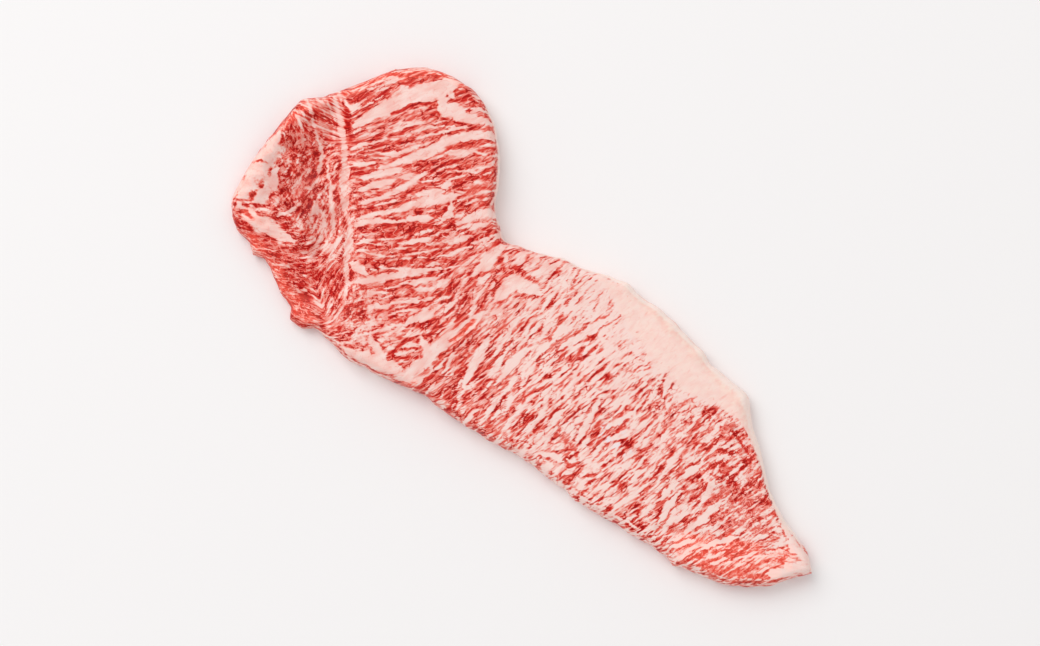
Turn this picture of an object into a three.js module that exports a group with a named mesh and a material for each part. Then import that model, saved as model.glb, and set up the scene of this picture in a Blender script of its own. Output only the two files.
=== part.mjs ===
import * as THREE from "three";

// Raw marbled sirloin steak lying flat with its broad cut face up, in millimetres.
// +X runs from the side flap to the tail end, +Y from the tail to the head muscle, +Z is up.

const headThickness = 12.8;
const tailThickness = 10.6;
const flapThickness = 8.6;
const sideBulgeHeight = 0.36; // height of the widest line of the side, as a share of the thickness
const shoulderWidth = 3.6; // how far in from the outline the top has risen to its full height
const fatSideWidth = 7.5; // the same along the fat cap, whose side slopes
const undersideInset = 1.8;

// Cross lines from the head end to the tail end: left edge x, y and right edge x, y.
const headEnd = [-48.0, 99.4];
const crossLines = [
  [-63.3, 93.1, -35.2, 99.6],
  [-75.7, 89.4, -23.5, 94.7],
  [-85.0, 87.3, -16.8, 89.9],
  [-92.2, 78.8, -13.0, 83.9],
  [-99.7, 69.3, -10.0, 77.7],
  [-105.8, 60.2, -8.5, 71.0],
  [-111.2, 49.0, -7.8, 64.0],
  [-109.3, 38.3, -8.5, 55.0],
  [-101.5, 30.0, -9.4, 47.0],
  [-96.2, 22.2, -8.0, 39.0],
  [-92.0, 12.8, -6.5, 33.5],
  [-85.0, 3.0, -0.8, 31.5],
  [-77.0, -2.0, 5.0, 29.5],
  [-70.0, -9.0, 11.0, 28.0],
  [-61.5, -15.0, 17.5, 25.5],
  [-51.5, -20.0, 24.0, 23.0],
  [-41.5, -24.0, 30.5, 21.0],
  [-31.3, -30.8, 39.0, 17.5],
  [-19.8, -38.9, 47.0, 11.6],
  [-7.2, -45.9, 56.4, 4.3],
  [6.3, -54.4, 65.5, -5.0],
  [19.4, -65.3, 73.5, -14.5],
  [31.8, -72.9, 80.5, -20.5],
  [44.3, -80.3, 86.5, -27.0],
  [54.3, -87.0, 88.2, -37.6],
  [61.0, -91.2, 92.0, -50.7],
  [70.0, -95.5, 94.7, -62.3],
  [81.0, -98.2, 99.4, -72.3],
  [93.5, -98.1, 104.4, -79.3],
  [103.2, -95.1, 108.8, -86.2],
];
const tailEnd = [109.9, -93.2];

// Torn points of the left edge: place along the cross lines, half width in cross lines, reach.
const tears = [
  { line: 9.1, half: 0.42, reach: [-2.6, -2.0] },
  { line: 12.0, half: 0.45, reach: [-3.4, 0.0] },
  { line: 12.35, half: 0.35, reach: [-0.5, -1.4] },
  { line: 25.45, half: 0.5, reach: [-0.5, -1.7] },
];

// Grooves of the top face, each along a curve.
const grooves = [
  {
    name: "seam between flap and head muscle",
    path: [
      [-71.0, 90.0],
      [-68.5, 76.5],
      [-66.0, 64.0],
      [-67.0, 49.0],
      [-65.0, 35.5],
      [-66.0, 16.5],
    ],
    depth: 1.5,
    halfWidth: 2.6,
  },
  {
    name: "ledge in front of the tail end",
    path: [
      [52.0, -76.5],
      [64.0, -79.5],
      [76.5, -82.0],
    ],
    depth: 0.8,
    halfWidth: 2.2,
  },
  {
    name: "slit beside the fat cap",
    path: [
      [81.0, -39.5],
      [86.0, -48.0],
    ],
    depth: 1.2,
    halfWidth: 1.6,
  },
];

// Rounded rises and hollows of the top face: centre, the two half lengths, turn in degrees, height.
const mounds = [
  { at: [-100.5, 58.5], half: [6.5, 10.5], turn: -15, rise: 2.6 }, // fat lump of the flap
  { at: [-100.0, 41.0], half: [6.0, 5.0], turn: 0, rise: 1.5 }, // second, smaller lump
  { at: [-84.0, 60.0], half: [7.0, 12.0], turn: -20, rise: -1.9 }, // hollow of the flap
  { at: [-84.0, 13.0], half: [12.0, 10.0], turn: 30, rise: -2.0 }, // thin torn corner
  { at: [-38.0, 62.0], half: [22.0, 26.0], turn: 0, rise: 0.8 }, // crown of the head muscle
  { at: [-34.0, -8.0], half: [7.0, 20.0], turn: -50, rise: 0.6 }, // fat band across the neck
  { at: [71.5, -58.5], half: [3.0, 4.0], turn: 40, rise: 0.9 }, // folded flake
  { at: [80.0, -90.0], half: [20.0, 6.0], turn: -8, rise: 0.9 }, // lump of the tail end
];
const flapRim = {
  path: [
    [-73.0, 85.5],
    [-83.0, 81.5],
    [-90.5, 73.5],
    [-98.0, 64.5],
  ],
  rise: 1.7,
  halfWidth: 3.4,
};

const stepsBetweenLines = 4;
const topColumns = 25; // cells across the top between the two shoulders
const shoulderInsets = [0.25, 1.1, 2.6]; // extra points on each shoulder, in from the outline
const narrowest = 26; // cross lines shorter than this squeeze their shoulders in proportion
const edgeWaves = [
  { length: 29, size: 0.3, start: 0.4 },
  { length: 17.3, size: 0.2, start: 1.9 },
  { length: 11.1, size: 0.12, start: 4.0 },
];
const surfaceWaves = [
  { heading: 25, length: 58, size: 0.22 },
  { heading: 112, length: 41, size: 0.18 },
  { heading: 67, length: 26, size: 0.1 },
  { heading: 161, length: 19, size: 0.07 },
];

function edgeCurve(first) {
  const middle = crossLines.map((line) => [line[first], line[first + 1]]);
  const points = [headEnd, ...middle, tailEnd].map(([x, y]) => new THREE.Vector3(x, y, 0));
  return new THREE.CatmullRomCurve3(points, false, "centripetal");
}

const leftEdge = edgeCurve(0);
const rightEdge = edgeCurve(2);
const lineCount = crossLines.length + 1;

// A point of one edge, moved by the small waves of a knife cut and, on the left, by the tears.
function edgePoint(curve, along) {
  const point = curve.getPoint(along);
  const tangent = curve.getTangent(along);
  const ends = Math.sin(Math.PI * along);
  for (const wave of edgeWaves) {
    const phase = (2 * Math.PI * (point.x - point.y)) / wave.length + wave.start;
    const shift = wave.size * Math.sin(phase) * ends;
    point.x += shift * tangent.y;
    point.y -= shift * tangent.x;
  }
  if (curve === leftEdge) {
    for (const tear of tears) {
      const away = Math.abs(along * lineCount - tear.line) / tear.half;
      const share = Math.max(0, 1 - away);
      point.x += tear.reach[0] * share;
      point.y += tear.reach[1] * share;
    }
  }
  return point;
}

function distanceToPath(x, y, points) {
  let nearest = Infinity;
  for (let i = 1; i < points.length; i++) {
    const [ax, ay] = points[i - 1];
    const [bx, by] = points[i];
    const lengthSquared = (bx - ax) ** 2 + (by - ay) ** 2;
    const raw = ((x - ax) * (bx - ax) + (y - ay) * (by - ay)) / lengthSquared;
    const share = THREE.MathUtils.clamp(raw, 0, 1);
    nearest = Math.min(nearest, Math.hypot(x - ax - share * (bx - ax), y - ay - share * (by - ay)));
  }
  return nearest;
}

const outlineSteps = 240;
const outline = [];
for (let i = 0; i <= outlineSteps; i++) {
  const point = edgePoint(rightEdge, i / outlineSteps);
  outline.push([point.x, point.y]);
}
for (let i = outlineSteps; i >= 0; i--) {
  const point = edgePoint(leftEdge, i / outlineSteps);
  outline.push([point.x, point.y]);
}

const bell = (t) => Math.exp(-t * t);

// Full thickness of the meat at a place, before the shoulders round it off.
function thicknessAt(x, y) {
  const towardTail = THREE.MathUtils.smoothstep((x - y) / Math.SQRT2, -60, 120);
  let height = THREE.MathUtils.lerp(headThickness, tailThickness, towardTail);
  const towardFlap = THREE.MathUtils.smoothstep(-x, 64, 78);
  height = THREE.MathUtils.lerp(height, flapThickness, towardFlap);
  for (const groove of grooves) {
    height -= groove.depth * bell(distanceToPath(x, y, groove.path) / groove.halfWidth);
  }
  for (const mound of mounds) {
    const turn = THREE.MathUtils.degToRad(mound.turn);
    const dx = x - mound.at[0];
    const dy = y - mound.at[1];
    const across = (dx * Math.cos(turn) + dy * Math.sin(turn)) / mound.half[0];
    const up = (dy * Math.cos(turn) - dx * Math.sin(turn)) / mound.half[1];
    height += mound.rise * bell(Math.hypot(across, up));
  }
  height += flapRim.rise * bell(distanceToPath(x, y, flapRim.path) / flapRim.halfWidth);
  for (const wave of surfaceWaves) {
    const heading = THREE.MathUtils.degToRad(wave.heading);
    const travel = x * Math.cos(heading) + y * Math.sin(heading);
    height += wave.size * Math.sin((2 * Math.PI * travel) / wave.length);
  }
  return height;
}

// Width of the shoulder at a place: wide along the fat cap on the upper right side.
function shoulderAt(x, y) {
  const fatCap = THREE.MathUtils.smoothstep(x + 1.1 * y, 30, 50) * THREE.MathUtils.smoothstep(x, 25, 60);
  return THREE.MathUtils.lerp(shoulderWidth, fatSideWidth, fatCap);
}

function topHeight(x, y) {
  const full = thicknessAt(x, y);
  const bulge = sideBulgeHeight * full;
  const inward = Math.min(1, distanceToPath(x, y, outline) / shoulderAt(x, y));
  return bulge + (full - bulge) * Math.sqrt(1 - (1 - inward) ** 2);
}

// Insets from the left edge of every point of a cross line, the two edge points included.
function columnInsets(width) {
  const squeeze = Math.min(1, width / narrowest);
  const rim = shoulderInsets.map((inset) => inset * squeeze);
  const start = shoulderWidth * 1.35 * squeeze;
  const insets = [0, ...rim];
  for (let i = 0; i <= topColumns; i++) {
    insets.push(start + ((width - 2 * start) * i) / topColumns);
  }
  insets.push(...rim.map((inset) => width - inset).reverse(), width);
  return insets;
}

function ringOf(along) {
  const left = edgePoint(leftEdge, along);
  const right = edgePoint(rightEdge, along);
  const width = left.distanceTo(right);
  const ring = columnInsets(width).map((inset) => {
    const point = left.clone().lerp(right, inset / width);
    return point.setZ(topHeight(point.x, point.y));
  });
  const under = undersideInset * Math.min(1, width / narrowest);
  ring.push(right.clone().lerp(left, under / width).setZ(0));
  ring.push(left.clone().lerp(right, under / width).setZ(0));
  return ring;
}

function endPoint(edge, along) {
  const point = edgePoint(edge, along);
  return point.setZ(topHeight(point.x, point.y));
}

// The steak is a sphere's grid: its poles are the head end and the tail end, and each of its rings
// becomes one cross line, over the top from left to right and back along the flat underside.
function steakGeometry() {
  const ringSize = columnInsets(narrowest).length + 2;
  const ringCount = lineCount * stepsBetweenLines;
  const geometry = new THREE.SphereGeometry(1, ringSize, ringCount);
  const position = geometry.attributes.position;
  for (let row = 0; row <= ringCount; row++) {
    const along = row / ringCount;
    const atEnd = row === 0 || row === ringCount;
    const ring = atEnd ? [endPoint(leftEdge, along)] : ringOf(along);
    for (let column = 0; column <= ringSize; column++) {
      const point = ring[column % ring.length];
      position.setXYZ(row * (ringSize + 1) + column, point.x, point.y, point.z);
    }
  }
  geometry.computeBoundingBox();
  const middle = geometry.boundingBox.getCenter(new THREE.Vector3());
  geometry.translate(-middle.x, -middle.y, -geometry.boundingBox.min.z);
  geometry.computeVertexNormals();
  return geometry;
}

const rawMeat = new THREE.MeshStandardMaterial({ color: 0xe39a8c, roughness: 0.42, metalness: 0 });

const steak = new THREE.Mesh(steakGeometry(), rawMeat);
steak.name = "steak";

const sirloin = new THREE.Group();
sirloin.add(steak);

export default sirloin;
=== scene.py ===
import math
import bpy
import numpy as np
from mathutils.kdtree import KDTree
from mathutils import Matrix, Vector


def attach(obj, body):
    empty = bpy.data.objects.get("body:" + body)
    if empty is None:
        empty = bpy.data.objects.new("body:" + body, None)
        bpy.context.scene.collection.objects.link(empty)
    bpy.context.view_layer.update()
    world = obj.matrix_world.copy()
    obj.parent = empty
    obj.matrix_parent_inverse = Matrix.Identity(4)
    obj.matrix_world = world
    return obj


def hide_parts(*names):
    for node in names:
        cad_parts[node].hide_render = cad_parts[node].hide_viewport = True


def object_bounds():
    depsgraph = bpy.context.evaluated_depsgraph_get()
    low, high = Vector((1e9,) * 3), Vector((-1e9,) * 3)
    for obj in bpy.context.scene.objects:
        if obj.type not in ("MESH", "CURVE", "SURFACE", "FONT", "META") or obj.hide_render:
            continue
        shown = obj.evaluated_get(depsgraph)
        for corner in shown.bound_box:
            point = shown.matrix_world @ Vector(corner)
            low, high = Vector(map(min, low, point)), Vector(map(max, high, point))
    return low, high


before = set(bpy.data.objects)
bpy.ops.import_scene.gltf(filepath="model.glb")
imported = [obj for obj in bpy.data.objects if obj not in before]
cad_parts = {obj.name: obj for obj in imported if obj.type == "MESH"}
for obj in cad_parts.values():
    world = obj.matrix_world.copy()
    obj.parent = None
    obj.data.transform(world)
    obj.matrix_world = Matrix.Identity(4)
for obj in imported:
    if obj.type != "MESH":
        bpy.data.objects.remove(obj)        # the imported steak: one body, one node
cadBox = [list(corner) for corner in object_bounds()]
mm = 0.001
print("frame loaded:", sorted(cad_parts))

# The steak's plan in millimetres, as in its solid: flap at -X, head muscle at +Y, tail end at +X -Y
steakPlan = {
    "headEnd": (-48.0, 99.4),
    "crossLines": (  # left edge x, y and right edge x, y
        (-63.3, 93.1, -35.2, 99.6),
        (-75.7, 89.4, -23.5, 94.7),
        (-85.0, 87.3, -16.8, 89.9),
        (-92.2, 78.8, -13.0, 83.9),
        (-99.7, 69.3, -10.0, 77.7),
        (-105.8, 60.2, -8.5, 71.0),
        (-111.2, 49.0, -7.8, 64.0),
        (-109.3, 38.3, -8.5, 55.0),
        (-101.5, 30.0, -9.4, 47.0),
        (-96.2, 22.2, -8.0, 39.0),
        (-92.0, 12.8, -6.5, 33.5),
        (-85.0, 3.0, -0.8, 31.5),
        (-77.0, -2.0, 5.0, 29.5),
        (-70.0, -9.0, 11.0, 28.0),
        (-61.5, -15.0, 17.5, 25.5),
        (-51.5, -20.0, 24.0, 23.0),
        (-41.5, -24.0, 30.5, 21.0),
        (-31.3, -30.8, 39.0, 17.5),
        (-19.8, -38.9, 47.0, 11.6),
        (-7.2, -45.9, 56.4, 4.3),
        (6.3, -54.4, 65.5, -5.0),
        (19.4, -65.3, 73.5, -14.5),
        (31.8, -72.9, 80.5, -20.5),
        (44.3, -80.3, 86.5, -27.0),
        (54.3, -87.0, 88.2, -37.6),
        (61.0, -91.2, 92.0, -50.7),
        (70.0, -95.5, 94.7, -62.3),
        (81.0, -98.2, 99.4, -72.3),
        (93.5, -98.1, 104.4, -79.3),
        (103.2, -95.1, 108.8, -86.2),
    ),
    "tailEnd": (109.9, -93.2),
    "edgeWaves": ((29.0, 0.3, 0.4), (17.3, 0.2, 1.9), (11.1, 0.12, 4.0)),  # length, size, start
    "tears": (  # cross line, half width, reach x, y
        (9.1, 0.42, -2.6, -2.0), (12.0, 0.45, -3.4, 0.0), (12.35, 0.35, -0.5, -1.4),
        (25.45, 0.5, -0.5, -1.7)),
}

# Thickness of the meat and the rounded forms of its top face, as in the solid
steakForm = {
    "headThickness": 12.8,
    "tailThickness": 10.6,
    "flapThickness": 8.6,
    "sideBulge": 0.36,  # height of the widest line of the side, as a share of the thickness
    "shoulder": 3.6,  # how far in the top reaches its full height
    "fatShoulder": 7.5,  # the same along the fat cap
    "undersideInset": 1.8,
    "grooves": (  # depth, half width, path
        (1.5, 2.6, ((-71.0, 90.0), (-68.5, 76.5), (-66.0, 64.0), (-67.0, 49.0), (-65.0, 35.5),
                    (-66.0, 16.5))),
        (0.8, 2.2, ((52.0, -76.5), (64.0, -79.5), (76.5, -82.0))),
        (1.2, 1.6, ((81.0, -39.5), (86.0, -48.0))),
    ),
    "mounds": (  # centre x, y, two half lengths, turn in degrees, rise
        (-100.5, 58.5, 6.5, 10.5, -15, 2.6),  # fat lump of the flap
        (-100.0, 41.0, 6.0, 5.0, 0, 1.5),  # second, smaller lump
        (-84.0, 60.0, 7.0, 12.0, -20, -1.9),  # hollow of the flap
        (-84.0, 13.0, 12.0, 10.0, 30, -2.0),  # thin torn corner
        (-38.0, 62.0, 22.0, 26.0, 0, 0.8),  # crown of the head muscle
        (-34.0, -8.0, 7.0, 20.0, -50, 0.6),  # fat band across the neck
        (71.5, -58.5, 3.0, 4.0, 40, 0.9),  # folded flake
        (80.0, -90.0, 20.0, 6.0, -8, 0.9),  # lump of the tail end
    ),
    "flapRim": (1.7, 3.4, ((-73.0, 85.5), (-83.0, 81.5), (-90.5, 73.5), (-98.0, 64.5))),
    "waves": (  # heading, length, size
        (25, 58.0, 0.22), (112, 41.0, 0.18), (67, 26.0, 0.1), (161, 19.0, 0.07)),
}


def ramp(value, low, high):
    share = np.clip((value - low) / (high - low), 0, 1)
    return share * share * (3 - 2 * share)


def blend(first, second, share):
    return first + (second - first) * share


def bell(value):
    return np.exp(-value * value)


def curveAt(points, along):
    # Centripetal Catmull-Rom curve, from 0 at the head end to 1 at the tail end
    points = np.array(points, float)
    points = np.vstack([2 * points[0] - points[1], points, 2 * points[-1] - points[-2]])
    place = along * (len(points) - 3)
    first = np.minimum(place.astype(int), len(points) - 4)
    t = (place - first)[:, None]
    before, start, end, after = [points[first + step] for step in range(4)]
    pairs = (before, start), (start, end), (end, after)
    spans = [np.sqrt(np.linalg.norm(b - a, axis=1))[:, None] for a, b in pairs]
    leave = (start - before) / spans[0] - (end - before) / (spans[0] + spans[1]) + (end - start) / spans[1]
    arrive = (end - start) / spans[1] - (after - start) / (spans[1] + spans[2]) + (after - end) / spans[2]
    leave, arrive = leave * spans[1], arrive * spans[1]
    bend = 3 * (end - start) - 2 * leave - arrive
    return start + leave * t + bend * t ** 2 + (2 * (start - end) + leave + arrive) * t ** 3


def edgeAt(side, along):
    # Points of one edge with the waves of the knife cut, and its outward normals
    picked = slice(0, 2) if side == "left" else slice(2, 4)
    points = [steakPlan["headEnd"], *[line[picked] for line in steakPlan["crossLines"]], steakPlan["tailEnd"]]
    edge = curveAt(points, along)
    tangent = curveAt(points, np.minimum(along + 1e-4, 1)) - curveAt(points, np.maximum(along - 1e-4, 0))
    tangent /= np.linalg.norm(tangent, axis=1)[:, None]
    across = np.stack([tangent[:, 1], -tangent[:, 0]], 1)
    for length, size, start in steakPlan["edgeWaves"]:
        phase = 2 * np.pi * (edge[:, 0] - edge[:, 1]) / length + start
        edge = edge + (size * np.sin(phase) * np.sin(np.pi * along))[:, None] * across
    if side == "left":
        for line, half, reachX, reachY in steakPlan["tears"]:
            share = np.maximum(0, 1 - np.abs(along * (len(points) - 1) - line) / half)
            edge = edge + share[:, None] * np.array([reachX, reachY])
    return edge, across if side == "left" else -across


def planMiddle():
    # Middle of the outline's box, where the solid has its origin
    along = np.linspace(0, 1, 4001)
    outline = np.vstack([edgeAt("left", along)[0], edgeAt("right", along)[0]])
    return 0.5 * (outline.min(0) + outline.max(0))


def pathDistance(x, y, path):
    nearest = np.full(np.shape(x), np.inf)
    for (ax, ay), (bx, by) in zip(path, path[1:]):
        share = ((x - ax) * (bx - ax) + (y - ay) * (by - ay)) / ((bx - ax) ** 2 + (by - ay) ** 2)
        share = np.clip(share, 0, 1)
        nearest = np.minimum(nearest, np.hypot(x - ax - share * (bx - ax), y - ay - share * (by - ay)))
    return nearest


def thicknessAt(x, y):
    form = steakForm
    height = blend(form["headThickness"], form["tailThickness"], ramp((x - y) / math.sqrt(2), -60, 120))
    height = blend(height, form["flapThickness"], ramp(-x, 64, 78))
    for depth, halfWidth, path in form["grooves"]:
        height = height - depth * bell(pathDistance(x, y, path) / halfWidth)
    for centreX, centreY, halfX, halfY, turn, rise in form["mounds"]:
        turnCos, turnSin = math.cos(math.radians(turn)), math.sin(math.radians(turn))
        across = ((x - centreX) * turnCos + (y - centreY) * turnSin) / halfX
        up = ((y - centreY) * turnCos - (x - centreX) * turnSin) / halfY
        height = height + rise * bell(np.hypot(across, up))
    rise, halfWidth, path = form["flapRim"]
    height = height + rise * bell(pathDistance(x, y, path) / halfWidth)
    for heading, length, size in form["waves"]:
        travel = x * math.cos(math.radians(heading)) + y * math.sin(math.radians(heading))
        height = height + size * np.sin(2 * np.pi * travel / length)
    return height


def shoulderAt(x, y):
    fatCap = ramp(x + 1.1 * y, 30, 50) * ramp(x, 25, 60)
    return blend(steakForm["shoulder"], steakForm["fatShoulder"], fatCap)


# The cut face as a flat map in millimetres: it holds the run of the grain and the marbling
topMap = {
    "cell": 0.35,
    "low": (-127.0, -115.0),
    "high": (127.0, 115.0),
    "seed": 11,
}
mapColumns, mapRows = [int((topMap["high"][i] - topMap["low"][i]) / topMap["cell"]) + 1 for i in (0, 1)]
mapX, mapY = np.meshgrid(topMap["low"][0] + topMap["cell"] * np.arange(mapColumns),
                         topMap["low"][1] + topMap["cell"] * np.arange(mapRows))
waveX = np.fft.rfftfreq(mapColumns, topMap["cell"])[None, :]
waveY = np.fft.fftfreq(mapRows, topMap["cell"])[:, None]
waveNumber = np.hypot(waveX, waveY)
randomDraw = np.random.RandomState(topMap["seed"])


def filtered(field, response):
    return np.fft.irfft2(np.fft.rfft2(field) * response, s=field.shape)


def unitNoise(response):
    made = filtered(randomDraw.standard_normal((mapRows, mapColumns)), response)
    return made / made.std()


def bandNoise(length, breadth=0.5):
    return unitNoise(np.exp(-((waveNumber * length - 1) / breadth) ** 2))


def softNoise(length):
    return unitNoise(np.exp(-(waveNumber * length) ** 2))


def blurred(field, radius):
    return filtered(field, np.exp(-2 * (np.pi * waveNumber * radius) ** 2))


def readMap(field, x, y):
    across = np.clip((x - topMap["low"][0]) / topMap["cell"], 0, mapColumns - 1.001)
    up = np.clip((y - topMap["low"][1]) / topMap["cell"], 0, mapRows - 1.001)
    i, j = across.astype(int), up.astype(int)
    s, t = across - i, up - j
    return blend(blend(field[j, i], field[j, i + 1], s), blend(field[j + 1, i], field[j + 1, i + 1], s), t)


def spreadOut(spots, reach):
    # A smooth map through given values, each as x, y, value
    total, weights = 0.0, 0.0
    for x, y, value in spots:
        squared = ((mapX - x) ** 2 + (mapY - y) ** 2) / reach ** 2
        weight = np.exp(-squared) + 1e-5 / (1 + squared)
        total, weights = total + weight * value, weights + weight
    return total / weights


def combed(layers, heading, step=0.6):
    # Noise drawn out along the grain, each layer as its noise and its half length
    runX, runY = np.cos(heading), np.sin(heading)
    sums = [noise.copy() for noise, reach in layers]
    stepCount = int(2 * max(reach for noise, reach in layers) / step)
    for side in (1, -1):
        x, y, goX, goY = mapX, mapY, side * runX, side * runY
        for count in range(1, stepCount + 1):
            x, y = x + step * goX, y + step * goY
            nextX, nextY = readMap(runX, x, y), readMap(runY, x, y)
            turn = np.where(nextX * goX + nextY * goY < 0, -1.0, 1.0) / (np.hypot(nextX, nextY) + 1e-6)
            goX, goY = nextX * turn, nextY * turn
            for total, (noise, reach) in zip(sums, layers):
                if count * step < 2 * reach:
                    total += math.exp(-(count * step / reach) ** 2) * readMap(noise, x, y)
    return [total / total.std() for total in sums]


def climb(slopeX, slopeY):
    # The height map whose slopes come closest to these
    meanX, meanY = slopeX.mean(), slopeY.mean()
    steep = 2j * np.pi * (waveX * np.fft.rfft2(slopeX - meanX) + waveY * np.fft.rfft2(slopeY - meanY))
    squared = (2 * np.pi * waveNumber) ** 2
    squared[0, 0] = 1
    return np.fft.irfft2(-steep / squared, s=slopeX.shape) + meanX * mapX + meanY * mapY


def tapered(strokes):
    # The same strokes with pointed ends
    pointed = []
    for stroke in strokes:
        ends = []
        for (ax, ay, aw), (bx, by, bw) in ((stroke[0], stroke[1]), (stroke[-1], stroke[-2])):
            reach = 1.1 * aw / math.hypot(ax - bx, ay - by)
            ends.append((ax + reach * (ax - bx), ay + reach * (ay - by), 0.1))
        pointed.append((ends[0], *stroke, ends[1]))
    return pointed


def strokeDistance(strokes):
    # Distance from the nearest stroke's middle as a share of its half width there
    nearest = np.full(mapX.shape, 9.0)
    for stroke in strokes:
        xs, ys, widths = zip(*stroke)
        margin = 4 * max(widths)
        limits = [(min(xs) - margin, min(ys) - margin), (max(xs) + margin, max(ys) + margin)]
        (left, bottom), (right, top) = [[int((limit - low) / topMap["cell"]) for limit, low
                                         in zip(corner, topMap["low"])] for corner in limits]
        window = slice(max(0, bottom), top), slice(max(0, left), right)
        x, y = mapX[window], mapY[window]
        for (ax, ay, aw), (bx, by, bw) in zip(stroke, stroke[1:]):
            share = ((x - ax) * (bx - ax) + (y - ay) * (by - ay)) / ((bx - ax) ** 2 + (by - ay) ** 2)
            share = np.clip(share, 0, 1)
            away = np.hypot(x - ax - share * (bx - ax), y - ay - share * (by - ay))
            nearest[window] = np.minimum(nearest[window], 2 * away / blend(aw, bw, share))
    return nearest
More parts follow.
